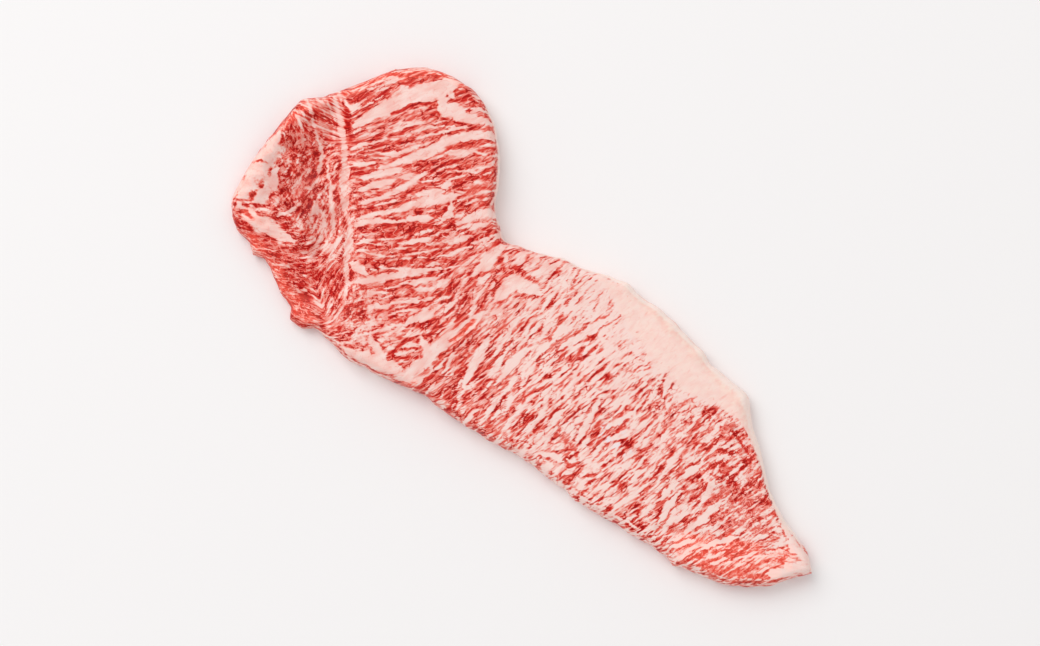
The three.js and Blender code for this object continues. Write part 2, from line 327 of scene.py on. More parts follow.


# What was seen of the marbling, with the spots where light and shade are painted on, all in millimetres:
# strokes are paths of x, y, width
marbling = {
    "grain": (  # x, y, heading of the grain in degrees
        (-54, 83, 22), (-31, 92, 12), (-18, 83, 8), (-57, 64, 12), (-35, 68, 14), (-16, 64, 8),
        (-54, 45, 10), (-31, 45, 8), (-16, 41, 15), (-57, 26, 2), (-38, 26, 5), (-23, 30, 8),
        (-12, 28, 35), (-54, 11, 3), (-38, 11, 15), (-25, 11, 50), (-31, 1, 35), (-46, -1, 15),
        (-61, -1, 20), (-61, -10, -25), (-46, -16, 10), (-19, 3, 62), (-23, -8, 55), (-35, -20, 55),
        (-8, 11, 60), (0, 18, 55), (15, 15, 52), (-8, -8, 55), (-16, -27, 48), (7, -1, 50),
        (0, -27, 48), (15, -27, 48), (30, -1, 48), (38, -20, 48), (30, -39, 48), (49, -35, 50),
        (45, -58, 46), (64, -46, 48), (30, -58, 44), (60, -65, 42), (79, -58, 38), (76, -39, 40),
        (64, -20, 42), (83, -73, 30), (68, -84, 20), (87, -88, 10), (53, -80, 32), (102, -88, -20),
        (-76, 83, -60), (-92, 72, 60), (-84, 64, 50), (-76, 56, 60), (-97, 56, 50), (-84, 45, 60),
        (-73, 37, 70), (-101, 41, -20), (-92, 34, -15), (-80, 26, 10), (-75, 15, 70), (-84, 11, -30),
        (-88, 18, -20),
    ),
    "lean": (  # x, y, share of lean between the islands of fat
        (-54, 83, 0.85), (-35, 89, 0.35), (-19, 85, 0.8), (-57, 64, 0.95), (-35, 60, 0.9), (-16, 60, 1.0),
        (-54, 45, 0.95), (-31, 49, 0.95), (-16, 41, 0.85), (-57, 26, 0.85), (-38, 26, 1.0), (-23, 32, 0.9),
        (-12, 26, 0.2), (-54, 11, 0.7), (-38, 11, 0.7), (-25, 11, 0.55), (-46, -6, 0.4), (-61, -12, 0),
        (-73, -4, 0.5), (-19, -4, 0.7), (-35, -20, 1.0), (-28, -10, 0.9), (-20, -1, 0.8),
        (-4, 18, 0.1), (15, 11, 0.0), (30, 11, -0.1),
        (-8, -4, 0.18), (7, -4, 0.12), (30, -8, 0.08), (49, -4, -0.4), (64, -16, -0.6), (-16, -31, 0.6),
        (7, -35, 0.25), (30, -35, 0.25), (15, -54, 0.3), (38, -54, 0.3), (53, -42, 0.4), (68, -39, 0.55),
        (49, -65, 0.4), (68, -61, 0.55), (83, -58, 0.9), (84, -73, 0.9), (46, -12, 0.1),
        (57, -25, 0.2), (68, -84, 0.4), (87, -88, 0.5),
        (102, -88, 0.1), (-76, 80, 1.0), (-88, 70, 1.2), (-82, 56, 1.1), (-76, 50, 0.65), (-74, 36, 0.5),
        (-88, 36, 0.8), (-92, 28, 1.55), (-84, 14, 1.55), (-76, 10, 1.4),
    ),
    "fineness": (  # x, y, how fine the marbling is
        (-46, 68, 0.1), (-38, 30, 0.2), (-23, 7, 0.45), (0, 11, 0.25), (15, -20, 0.4), (36, -27, 0.45),
        (40, 0, 0.7), (50, -14, 0.85), (60, -27, 0.9), (60, -42, 0.65), (68, -65, 0.7),
        (45, -65, 0.55), (83, -73, 0.8), (91, -88, 0.7), (-80, 49, 1),
        (-84, 15, 1), (15, -46, 0.4), (-16, -27, 0.35),
    ),
    "fatCap": (
        ((30, 18.5, 1.9), (38.5, 12, 7.6), (49, 2, 16), (58.5, -8, 19), (68, -17, 17.5),
         (76.5, -24, 12.9), (83, -30.5, 8.4), (87, -38, 4.2), (90, -46, 3), (93, -54, 2.7),
         (96.5, -65, 2.3), (100.5, -76.5, 2.7)),
    ),
    "creamRim": (
        ((30, 23, 3), (39, 19, 5), (48, 12, 7), (58, 3, 8), (68, -7, 8), (78, -18, 9), (86, -28, 9),
         (91, -40, 7), (94, -53, 5.5), (97.5, -65, 5), (103, -77, 4)),
    ),
    # White fat along the cap's outer side and the head's right side, painted whiter as painted light on these
    # shaded sides
    "litWhiteRim": (
        ((-11, 89, 2), (-6.5, 80, 4), (-4.3, 71, 5), (-3.8, 63, 5), (-4.5, 55, 5), (-5.5, 47, 4),
         (-4.5, 41, 3)),
        ((-3, 36, 3), (6, 33, 3.5), (19, 29, 4), (31.5, 24.5, 4), (40, 18, 4),
         (57, 5.5, 4.5), (74, -13, 5.5), (82, -20.5, 6.5), (88.5, -28, 7.5),
         (91, -40, 8), (94.5, -52, 7), (97.5, -63, 6), (102, -72, 5), (107, -79.5, 4)),
    ),
    "sideCap": (
        ((24, 27, 6), (38, 23, 8), (50, 15, 9), (62, 4, 9), (72, -6, 9), (83, -16, 9), (92, -27, 9),
         (95, -40, 8), (98, -53, 7), (102, -65, 6), (107, -76, 5)),
        ((-15, 97, 3), (-5, 88, 7), (0.5, 73, 9), (1.2, 64, 9), (0.5, 54.5, 9), (0.5, 44, 9), (3, 39.5, 9),
         (13.5, 36.5, 9), (26, 31, 9)),
    ),
    # Warm tone of lumps and edges, where painted light also brightens the colour
    "warmPaintedLight": (
        ((62, -82, 10), (74, -86, 16), (88, -90, 16), (98, -89, 10)),
        ((-66, 90, 4), (-56, 94, 6), (-44, 97.5, 6), (-32, 98, 5), (-22, 93, 3)),
        ((-81, 85, 4), (-90, 78, 4), (-97, 69, 3)),
        ((-45, -24, 3), (-40, -21, 3)),
        ((-26, -5, 4), (-19, 0, 4)),
        ((-103, 33, 5), (-95, 22, 6), (-87, 9, 7), (-79, 3, 5)),
        ((-107, 52, 6), (-102, 60, 9), (-97, 67, 6)),
        ((-104, 43, 5), (-98, 39.5, 5)),
    ),
    # Painted highlight: spots where a pale wet glint is painted into the colour
    "paintedGlintSpots": (
        ((29, -39, 4), (34, -42.5, 6), (39, -46, 5)),
    ),
    "seam": (
        ((-71.5, 88.5, 1.9), (-70, 83, 2.3), (-68.5, 76.5, 2.7), (-67.5, 68, 3.4), (-67, 59.5, 4.2),
         (-67.5, 51, 3.4), (-66.5, 44, 2.3), (-65, 37.5, 2.3), (-65, 31.5, 3.8), (-66.5, 25, 3),
         (-66, 16.5, 1.9), (-67, 9, 1.5), (-70.5, 2.5, 1.9)),
    ),
    "fatIslands": (
        ((-63, 76.5, 3), (-54, 81, 6), (-46, 85.5, 9.5), (-38.5, 88, 12), (-31, 90, 11), (-25.5, 93, 5)),
        ((-31, 88, 6), (-28, 83, 8.5), (-20, 79, 4.5), (-12, 77.5, 2.5)),
        ((-31, 96.5, 1.5), (-27.5, 90, 4.6)),
        ((-8.5, 72.5, 4.2), (-19.5, 72.5, 4.2), (-28.5, 70.5, 4.2), (-36, 65.5, 3.8), (-46, 62.5, 2.7),
         (-53, 60, 1.1)),
        ((-59.5, 56.5, 2.3), (-53, 58, 3.4), (-46, 59.5, 1.5)),
        ((-60.5, 52, 1.9), (-55, 53.5, 4.2), (-49, 55, 1.5)),
        ((-47.5, 52, 1.1), (-40.5, 55, 3.4), (-37, 58, 1.9)),
        ((-60.5, 46.5, 1.9), (-51.5, 49.5, 2.7), (-44.5, 52.5, 2.3)),
        ((-63, 40.5, 1.1), (-48, 44, 2.7), (-36.5, 47, 4.6), (-26.5, 49, 4.2)),
        ((-38.5, 50, 2.3), (-31, 51, 3)),
        ((-64.5, 38, 1.5), (-56.5, 40, 2.7), (-47.5, 39.5, 1.5)),
        ((-41.5, 40.5, 2.7), (-36, 41, 3)),
        ((-31, 39.5, 1.5), (-27, 42.5, 2.7), (-26.5, 46, 1.9)),
        ((-24, 39, 1.5), (-15.5, 42.5, 4.2), (-9, 43, 4.6)),
        ((-45, 31.5, 1.1), (-36, 33, 2.3)),
        ((-27, 31.5, 1.5), (-21.5, 33.5, 2.7)),
        ((-64.5, 23.5, 3.4), (-61.5, 22, 5.3), (-59, 20, 2.7)),
        ((-62.5, 17, 2.7), (-53.5, 18.5, 3.8), (-42.5, 20, 3), (-31, 22, 0.8)),
        ((-49, 22, 1.1), (-40, 21, 1.9)),
        ((-40.5, 16.5, 2.3), (-33, 18, 1.9)),
        ((-38.5, 14, 1.9), (-33.5, 14, 1.5)),
        ((-57, 7, 1.9), (-51.5, 7.5, 2.7)),
        ((-42.5, 1, 2.7), (-36, 5, 5.7), (-28.5, 10, 2.7)),
        ((-16.5, 21, 3.4), (-12, 25, 6.1), (-7.5, 30, 3.4)),
        ((-15.5, 4, 3.4), (-21, -0.5, 5.3), (-27, -4, 5.3), (-32.5, -9, 6.1), (-37, -13.5, 6.8),
         (-43, -18.5, 4.6)),
        ((-71, -5.5, 1.5), (-64.5, -10.5, 4.6), (-56.5, -14, 8.4), (-47.5, -17.5, 7.6), (-42.5, -21, 2.3)),
        ((-56, -6, 3), (-52, -13, 6.1)),
        ((-37, -6.5, 3.4), (-35.5, -11.5, 5.3)),
        ((-8, 11.5, 4.6), (-2.5, 17, 8.4), (3.5, 14, 5.3)),
        ((-21, -21, 2.3), (-18, -14.5, 4.9), (-13.5, -6, 3.4)),
        ((-8.5, -20.5, 2.3), (-3.5, -14, 4.9), (1.5, -9.5, 3)),
        ((-29.5, -18, 1.1), (-27, -13, 1.9), (-25, -9, 1.1)),
        ((15.5, -8, 1.9), (23, -3.5, 4.6), (30.5, 1.5, 3)),
        ((21.5, -42.5, 2.3), (25.5, -35, 3.4), (29, -29, 2.3)),
        ((32.5, -43, 2.3), (39, -40.5, 3.4)),
        ((33, -38, 1.9), (40, -33.5, 2.7)),
        ((8.5, -48.5, 2.7), (14, -49.5, 3.8), (17, -51, 1.5)),
        ((54, -25.5, 2.3), (56, -19.5, 3.4)),
        ((52.5, -72.5, 3), (56, -67, 3.8), (59, -63, 1.9)),
        ((63.5, -76, 3.4), (68.5, -72.5, 4.6), (73, -68, 3)),
        ((59.5, -57.5, 2.3), (65, -54, 3.8)),
        ((68.5, -65.5, 2.3), (71.5, -59.5, 2.7)),
        ((57.5, -82.5, 2.3), (64, -81, 1.5)),
        ((68, -83.5, 1.1), (74, -81, 2.3), (81, -79.5, 1.1)),
        ((88, -96, 2), (94.5, -93.5, 4), (101, -91, 8), (108, -91, 9), (114, -92, 9)),
        ((99.5, -76.5, 2.5), (103, -81.5, 6), (108, -87, 7), (113, -88, 7)),
        ((-106.5, 49.5, 5), (-104, 55, 11.5), (-100.5, 60.5, 14), (-96.5, 66, 11.5), (-93.5, 71.5, 5)),
        ((-99, 50, 6), (-94.5, 55, 5), (-93, 60, 2.5)),
        ((-105, 44, 4), (-100.5, 40.5, 8.5), (-95, 37.5, 7), (-89.5, 34, 4)),
        ((-80, 79, 0.8), (-77.5, 73, 1.1), (-76, 66, 1.4), (-77, 59, 1.1)),
        ((-113, 50, 5), (-109, 57, 7), (-103.5, 65, 6), (-99, 70, 3)),
        ((-79, 48, 1.2), (-75, 42, 1.5), (-76, 34, 1.9), (-79, 28, 1.2)),
        ((-74, 62, 1.5), (-72.5, 54, 1.9), (-72, 46, 2.3), (-71, 38, 1.5)),
        ((-84, 47, 1.1), (-88, 44, 1.5), (-92, 42.5, 1.1)),
        ((12.5, -58, 1.1), (19.5, -62, 1.3), (25, -66.4, 1.4), (31.5, -70.4, 1.3), (39.5, -73.3, 1),
         (45, -77.8, 0.9)),
    ),
    "leanPatches": (
        ((-67.5, 85, 1.5), (-65.6, 79, 3.8), (-65, 73, 2.2)),
        ((-26.5, 85.5, 1.5), (-20.5, 87, 3.4), (-14, 83.5, 1.1)),
        ((-44, 92.5, 1.5), (-35.5, 94, 2.3), (-28.5, 95.5, 1.5)),
        ((-61, 84, 1), (-53, 88.5, 1.6), (-47, 92.5, 1.4), (-40, 97, 1)),
        ((-49, 80.5, 1.1), (-41.5, 83.5, 1.9), (-33, 85, 0.8)),
        ((-34.5, 6.5, 0.9), (-31, 9, 1.3), (-26, 10, 0.8)),
        ((-49.5, -12, 1.5), (-47, -8, 1.5), (-42.5, -5, 1.1)),
        ((-48.5, -12, 1.1), (-44, -12.5, 1.5), (-38.5, -11.5, 1.5), (-37.5, -8.5, 0.8)),
        ((-45.5, -9, 1.1), (-39, -8.5, 1.1)),
        ((-27, -6, 0.8), (-22, -1.5, 2.2), (-18, 2, 1)),
        ((-8, 25, 1.9), (-6, 20, 1.5)),
        ((18.5, -13, 1.4), (21.5, -11, 2), (23.5, -8, 1)),
        ((23, -12.5, 0.9), (26, -9.5, 1.6), (28, -7.5, 0.8)),
        ((25.5, -44.5, 1.5), (27.5, -40, 2.7), (29.5, -36.5, 2.3), (32, -35, 1.1)),
        ((29, -44.5, 1.1), (32, -40, 1.9), (35, -38.5, 1.1)),
        ((-0.5, -28, 1.1), (5, -24.5, 1.5), (11, -22.5, 1.5)),
        ((15, -47, 0.9), (20.5, -46, 1.1), (21, -51, 0.9), (18, -53, 1.1), (15.5, -50, 0.8)),
        ((14.5, -58, 1.9), (21, -56, 2.3)),
        ((74, -57, 2.3), (79, -59, 2.7)),
        ((68.5, -90.5, 2.3), (74, -92, 3.4), (83, -93.5, 2.7), (91.5, -94.5, 1.9)),
        ((70, -95, 1.5), (81.5, -97, 1.5), (92.5, -97, 1.5)),
        ((62.5, -88, 1.5), (67, -86, 1.9), (72.5, -84, 1.1)),
        ((-103.5, 63.5, 0.5), (-97, 62.5, 0.6)),
        ((-110.5, 49, 1.1), (-104.5, 47.5, 1.1), (-97.5, 46, 1.1)),
        ((-109.5, 43.5, 1.9), (-105, 44, 1.5), (-102.5, 41, 1.1)),
    ),
    "slits": (
        ((79.6, -39.6, 0.6), (82.5, -43.6, 1.2), (86, -48.8, 0.7)),
    ),
    # Where painted shade darkens the hollow of the flap
    "hollow": (
        ((-75, 80, 8), (-81, 68, 13), (-81, 57, 16), (-80, 44, 18), (-78, 34, 12)),
    ),
    # Darker lean: partly the meat's own tone, partly painted shade in the seam's groove, the slit and the
    # flap's hollows
    "darkSpotsAndShade": (
        ((-68, 83, 3), (-66.5, 78.5, 4.2), (-66, 74, 2.3)),
        ((-90, 61, 5.3), (-88.5, 54, 4.6)),
        ((-84, 64, 5.3), (-82, 58, 5.3)),
        ((74, -43, 4), (79, -46, 4.5), (83, -51, 3)),
        ((79.8, -39.6, 1.2), (82.6, -43.6, 2.2), (86, -48.8, 1.5)),
        ((72, -54.5, 2.5), (76, -57.5, 4), (80, -60, 2.5)),
        ((-88, 35.5, 3.4), (-83.5, 33, 3.4)),
        ((-71.5, 12.5, 3), (-71, 8.5, 3)),
        ((-84, 7.5, 5.3), (-77, 4.5, 3.8)),
    ),
}

# How the marbling is put together from combed noise and the strokes above
marblingMix = {
    "lengths": (5.5, 2.6, 1.5, 1.0),  # width of the coarse, middle, fine and thready streaks in mm
    "reaches": (5.2, 3.9, 2.6, 1.1),  # their half lengths
    "wander": (6, 7),  # degrees that the grain wanders, widely and closely
    "ragged": 0.15,  # mm that the streaks' edges are torn aside
    "bent": 0.12,  # mm that whole streaks are bent aside
    "contrast": 0.45,
    "ground": 0.8,
    "leanPull": 0.72,
    "crispness": 0.6,
}

# The maps that go with the mesh to its material
meatMaps = ("fatness", "cream", "threads", "depth", "shade", "litWhiteFat", "warmthAndLight", "paintedGlint", "tailward",
            "across", "along")


def putFat(field, away, top=1.0, rim=0.2):
    own = np.clip((1.15 - away) * 1.8, -rim, top)
    return blend(field, own, ramp(away, 1.6, 1.15))


def putLean(field, away, streaks, depth=0.6):
    own = np.clip((away - 1) * 1.2, -depth, 0.3) + 0.35 * streaks
    return blend(field, np.minimum(field, own), ramp(away, 1.3, 0.85))


def marblingMaps():
    mix = marblingMix
    turns = [(x, y, math.radians(2 * degrees)) for x, y, degrees in marbling["grain"]]
    heading = 0.5 * np.arctan2(spreadOut([(x, y, math.sin(turn)) for x, y, turn in turns], 9),
                               spreadOut([(x, y, math.cos(turn)) for x, y, turn in turns], 9))
    wander = mix["wander"][0] * softNoise(10) + mix["wander"][1] * softNoise(3)
    layers = [(bandNoise(length), reach) for length, reach in zip(mix["lengths"], mix["reaches"])]
    coarse, middle, fine, thread = combed(layers, heading + np.radians(wander))
    patchy, broad = softNoise(6), softNoise(14)
    fineness = spreadOut(marbling["fineness"], 12)
    lean = spreadOut(marbling["lean"], 9)
    texture = (0.45 - 0.38 * fineness) * coarse + (0.45 - 0.3 * fineness) * middle
    texture += (0.5 - 0.1 * fineness) * fine + (0.2 + 0.5 * fineness) * thread
    texture /= texture.std()
    tailward = ramp((mapX - mapY) / math.sqrt(2), -30, 20)
    contrast = mix["contrast"] * (1 - 0.3 * fineness) * (1 - 0.3 * tailward)
    field = contrast * texture + mix["ground"] - mix["leanPull"] * lean + 0.12 * patchy
    islands = 0.8 * coarse + 0.5 * middle + 0.25 * fine - 0.35 * (lean - 0.7) + 0.2 * broad
    field = blend(field, 0.95 + 0.12 * fine, ramp(islands, 0.9, 1.25) * (1 - 0.5 * fineness))
    dashes = bell(middle / 0.22) * ramp(patchy + fine, -0.2, 1.2) + 0.7 * bell(coarse / 0.12)
    field = field - 0.3 * dashes * ramp(field, 0.0, 0.6)
    wobble = 0.07 * fine + 0.13 * patchy + 0.04 * thread
    field = putFat(field, strokeDistance(tapered(marbling["fatIslands"])) + wobble)
    patches = strokeDistance(tapered(marbling["leanPatches"]))
    field = putLean(field, patches + wobble, 0.6 * fine + 0.5 * middle)
    torn = [mix["ragged"] * softNoise(1.8) + mix["bent"] * softNoise(5) for side in (0, 1)]
    field = readMap(field, mapX + torn[0], mapY + torn[1])
    field = field + mix["crispness"] * (field - blurred(field, 0.9))
    # Deep red along the slits: lean, with painted shade in the gaps
    field = field - 2.2 * ramp(strokeDistance(marbling["slits"]) + 0.5 * wobble, 1.5, 0.7)
    field = putFat(field, strokeDistance(marbling["seam"]) + 1.5 * wobble, top=0.84, rim=0.3)
    capAway = np.minimum(strokeDistance(marbling["fatCap"]), strokeDistance(marbling["sideCap"]))
    capAway = capAway + 0.5 * wobble
    capEdge = capAway + 0.12 * thread + 0.12 * fine
    field = blend(field, np.maximum(field, 1.0 + 0.15 * fine), ramp(capEdge, 1.25, 0.8))
    creamAway = strokeDistance(marbling["creamRim"]) + 0.3 * wobble
    warmPaintedLight = ramp(strokeDistance(marbling["warmPaintedLight"]) + 0.3 * patchy, 1.4, 0.5)
    print("marbling mapped:", mapColumns, "by", mapRows)
    return {
        "fatness": np.clip(field, -1.3, 1.4),
        "cream": ramp(capAway, 1.3, 0.8) * (0.45 + 0.55 * ramp(creamAway, 1.6, 0.7)),
        "threads": (0.75 + 0.25 * fineness) * ramp(capAway, 0.7, 1.3),
        # depth: darker lean and painted shade in grooves and hollows
        "depth": ramp(strokeDistance(marbling["darkSpotsAndShade"]) + 0.3 * patchy, 1.7, 0.3),
        "shade": ramp(strokeDistance(marbling["hollow"]) + 0.3 * patchy, 1.3, 0.5),
        "litWhiteFat": ramp(strokeDistance(marbling["litWhiteRim"]) + 0.2 * patchy + 0.1 * fine, 1.25, 0.75),
        # warm tone at random and along the strokes, which also set where light is painted on
        "warmthAndLight": np.clip(0.3 * ramp(0.5 * broad + 0.3 * patchy, -0.2, 1.0) + warmPaintedLight, 0, 1),
        "paintedGlint": ramp(strokeDistance(marbling["paintedGlintSpots"]) + 0.3 * patchy + 0.3 * fine, 1.4, 0.5),
        "across": climb(-np.sin(heading), np.cos(heading)),
        "along": climb(np.cos(heading), np.sin(heading)),
        "tailward": tailward,
        "fine": fine,
        "patchy": patchy,
    }


# The steak's own surface: a fine grid whose rows run across the meat
steakGrid = {
    "rows": 640,
    "columns": 104,  # across the top between the rims
    "rimInsets": (0.0, 0.06, 0.2, 0.42, 0.75, 1.2, 1.8, 2.6, 3.5),  # mm in from the edge
    "sideSteps": 4,
    "underColumns": 15,
    "underMargin": 1.2,  # mm from the underside's edge to its first column
    "narrowest": 26.0,  # rows shorter than this squeeze their rims
    "fray": 0.4,  # mm that the edge wanders inward
    "fatRise": 0.06,  # mm that fat stands above lean
    "fibreRise": 0.02,
    "flapFolds": 0.5,
    "sideRough": 0.3,
    "topRoom": 0.3,  # mm kept free under the solid's top for the relief
}


def rowNoise(count, length):
    # Smooth noise from 0 to about 1 along an edge
    width = 3 * length
    kernel = bell(np.arange(-width, width + 1) / length)
    made = np.convolve(randomDraw.standard_normal(count + 2 * width), kernel, mode="valid")
    return 0.5 + 0.25 * made / made.std()


def rowPlaces():
    along = np.linspace(0, 1, 6001)
    left, right = edgeAt("left", along)[0], edgeAt("right", along)[0]
    lines = 0.5 * (left + right), left, right
    steps = [np.linalg.norm(np.diff(line, axis=0), axis=1) for line in lines]
    travel = np.concatenate([[0], np.cumsum(np.maximum(steps[0], 0.7 * np.maximum(steps[1], steps[2])))])
    return np.interp(np.linspace(0, travel[-1], steakGrid["rows"] + 1), travel, along)


def nearestRim(x, y, rim, outward):
    # Distance to the outline and the outward direction there
    tree = KDTree(len(rim))
    for index, point in enumerate(rim):
        tree.insert((point[0], point[1], 0), index)
    tree.balance()
    found = np.array([tree.find((a, b, 0))[1] for a, b in zip(x, y)])
    count, best = len(rim), np.full(len(x), np.inf)
    for step in (-1, 0):
        start, end = rim[(found + step) % count], rim[(found + step + 1) % count]
        span = end - start
        reach = (x - start[:, 0]) * span[:, 0] + (y - start[:, 1]) * span[:, 1]
        share = reach / (np.sum(span ** 2, 1) + 1e-12)
        spot = start + np.clip(share, 0, 1)[:, None] * span
        best = np.minimum(best, np.hypot(x - spot[:, 0], y - spot[:, 1]))
    return best, outward[found]


def steakSurface(maps):
    grid, form = steakGrid, steakForm
    along = rowPlaces()
    rows = len(along)
    ends = np.sin(np.pi * along)
    edges = {}
    for side in ("left", "right"):
        edge, outward = edgeAt(side, along)
        fray = grid["fray"] * ends ** 0.3 * np.clip(0.6 * rowNoise(rows, 9) + 0.5 * rowNoise(rows, 3), 0, 1)
        edges[side] = (edge - fray[:, None] * outward, outward)
    (left, leftOut), (right, rightOut) = edges["left"], edges["right"]
    rim, rimOut = np.vstack([right, left[-2:0:-1]]), np.vstack([rightOut, leftOut[-2:0:-1]])

    width = np.linalg.norm(right - left, axis=1)
    squeeze = np.minimum(1, width / grid["narrowest"])[:, None]
    rimInsets = np.array(grid["rimInsets"]) * squeeze
    inner = width[:, None] - 2 * rimInsets[:, -1:]
    steps = np.arange(1, grid["columns"]) / grid["columns"]
    insets = np.hstack([rimInsets, rimInsets[:, -1:] + inner * steps, width[:, None] - rimInsets[:, ::-1]])
    share = insets / np.maximum(width[:, None], 1e-9)
    top = left[:, None] + (right - left)[:, None] * share[..., None]
    topX, topY = top[..., 0].ravel(), top[..., 1].ravel()
    inward, outward = nearestRim(topX, topY, rim, rimOut)
    full, shoulder = thicknessAt(topX, topY), shoulderAt(topX, topY)
    bulge = form["sideBulge"] * full
    lean = 1 - np.minimum(1, inward / shoulder)  # 0 on the flat, 1 at the widest line
    height = bulge + (full - bulge) * np.sqrt(1 - lean ** 2)
    unrolled = 0.73 * (full - height)
    steepness = np.arctan2(lean / shoulder, np.sqrt(1 - lean ** 2) / (full - bulge))
    parts = [np.stack([topX, topY, height, unrolled, steepness, outward[:, 0], outward[:, 1]], 1)
             .reshape(rows, -1, 7)]

    for edge, edgeOut in ((right, rightOut), (left, leftOut)):
        thick = thicknessAt(edge[:, 0], edge[:, 1])
        sideRing = []
        for step in range(1, grid["sideSteps"] + 1):
            angle = 0.5 * math.pi * step / grid["sideSteps"]
            inset = form["undersideInset"] * squeeze[:, 0] * (1 - math.cos(angle))
            spot = edge - inset[:, None] * edgeOut
            drop = form["sideBulge"] * thick * math.sin(angle)
            unroll = 0.73 * (1 - form["sideBulge"]) * thick + 1.05 * drop + inset
            level = form["sideBulge"] * thick - drop
            steep = np.full(rows, 0.5 * math.pi)
            sideRing.append(np.column_stack([spot, level, unroll, steep, edgeOut]))
        parts.append(np.stack(sideRing, 1))
    top, rightSide, leftSide = parts
    corner = rightSide[:, -1], leftSide[:, -1]
    underSpan = np.linalg.norm(corner[1][:, :2] - corner[0][:, :2], axis=1)
    margin = np.minimum(grid["underMargin"], 0.1 * underSpan) / np.maximum(underSpan, 1e-9)
    underShare = margin[:, None] + (1 - 2 * margin[:, None]) * np.linspace(0, 1, grid["underColumns"])
    under = np.zeros((rows, grid["underColumns"], 7))
    under[..., :2] = blend(corner[0][:, None, :2], corner[1][:, None, :2], underShare[..., None])
    ring = np.concatenate([top, rightSide, under, leftSide[:, ::-1]], 1)
    isUnder = np.zeros(ring.shape[:2], bool)
    isUnder[:, top.shape[1] + rightSide.shape[1]:][:, :grid["underColumns"]] = True

    # The poles are single points, so that each end closes as a fan
    points = np.vstack([ring[0, :1], ring[1:-1].reshape(-1, 7), ring[-1, :1]])
    isUnder = np.concatenate([[False], isUnder[1:-1].ravel(), [False]])
    x, y, height, unrolled, steepness, outX, outY = points.T
    mapAt = x + outX * unrolled, y + outY * unrolled
    seen = {name: readMap(field, *mapAt) for name, field in maps.items()}

    onFlap = ramp(-x, 66, 74) * ramp(y, 0, 12)
    relief = grid["fatRise"] * (ramp(seen["fatness"], -0.4, 0.5) - 1)
    relief = relief + grid["fibreRise"] * (np.clip(seen["fine"], -2, 2) - 1)
    relief = relief + grid["flapFolds"] * onFlap * (np.clip(seen["patchy"], -1.5, 1.5) - 0.6) * 0.5
    hollows = np.clip(0.5 + 0.35 * seen["patchy"], 0, 1)
    relief = relief - grid["sideRough"] * ramp(steepness, 0.3, 1.2) * hollows
    relief = np.where(isUnder, 0, relief)
    upward = np.where(height > 0.01, np.cos(steepness), 0)
    height = np.where(height > 0.01, height - grid["topRoom"] * upward, height)
    ceiling = 1000 * cadBox[1][2] - 0.03
    height = np.minimum(height + relief * upward, ceiling)
    x, y = x + relief * np.sin(steepness) * outX, y + relief * np.sin(steepness) * outY
    return np.stack([x, y, height], 1), mapAt, seen, isUnder, ring.shape[1]


def steakFaces(rows, ringSize):
    # Quads between the rows and a fan of triangles at each end
    faces = []
    lastPoint = 1 + (rows - 2) * ringSize
    for column in range(ringSize):
        following = (column + 1) % ringSize
        faces.append((0, 1 + column, 1 + following))
        for row in range(rows - 3):
            start = 1 + row * ringSize
            faces.append((start + column, start + ringSize + column, start + ringSize + following,
                          start + following))
        start = lastPoint - ringSize
        faces.append((start + column, lastPoint, start + following))
    return faces


def buildSteak():
    maps = marblingMaps()
    points, mapAt, seen, isUnder, ringSize = steakSurface(maps)
    faces = steakFaces(steakGrid["rows"] + 1, ringSize)
    shift = [*planMiddle(), 0]
    mesh = bpy.data.meshes.new("marbledSteak")
    mesh.from_pydata(((points - shift) * mm).tolist(), [], faces)
    for name in meatMaps:
        layer = mesh.attributes.new(name, "FLOAT", "POINT")
        layer.data.foreach_set("value", seen[name].astype(np.float32))
    mesh.polygons.foreach_set("use_smooth", [True] * len(mesh.polygons))
    layUv(mesh, points, mapAt, isUnder)
    mesh.update()
    steak = bpy.data.objects.new("marbledSteak", mesh)
    bpy.context.scene.collection.objects.link(steak)
    print("steak meshed:", len(mesh.vertices), "points,", len(mesh.polygons), "faces")
    return steak


# Where the top and the underside lie on the flat sheet of the texture, in mm
sheetLayout = {
    "low": (-125.0, -112.0),
    "size": 250.0,
    "underScale": 0.36,
    "underAt": (74.0, 76.0),
}


def layUv(mesh, points, mapAt, isUnder):
    sheet = sheetLayout
    loopPoint = np.zeros(len(mesh.loops), np.int32)
    mesh.loops.foreach_get("vertex_index", loopPoint)
    loopCount = np.zeros(len(mesh.polygons), np.int32)
    mesh.polygons.foreach_get("loop_total", loopCount)
    faceOf = np.repeat(np.arange(len(mesh.polygons)), loopCount)
    below = np.bincount(faceOf, weights=isUnder[loopPoint]) > 0
    below = below[faceOf]
    u = np.where(below, sheet["underAt"][0] + sheet["underScale"] * points[loopPoint, 0], mapAt[0][loopPoint])
    v = np.where(below, sheet["underAt"][1] + sheet["underScale"] * points[loopPoint, 1], mapAt[1][loopPoint])
    spots = np.stack([(u - sheet["low"][0]) / sheet["size"], (v - sheet["low"][1]) / sheet["size"]], 1)
    layer = mesh.uv_layers.new(name="OFBake")
    layer.data.foreach_set("uv", spots.astype(np.float32).ravel())


def paint(red, green, blue):
    # Screen colour from 0 to 255 as linear light
    shares = [value / 255 for value in (red, green, blue)]
    return (*[s / 12.92 if s <= 0.04045 else ((s + 0.055) / 1.055) ** 2.4 for s in shares], 1.0)


def addNode(tree, kind, sockets=None, **settings):
    node = tree.nodes.new(kind)
    for name, value in settings.items():
        setattr(node, name, value)
    for name, value in (sockets or {}).items():
        if isinstance(value, bpy.types.NodeSocket):
            tree.links.new(value, node.inputs[name])
        else:
            node.inputs[name].default_value = value
    return node


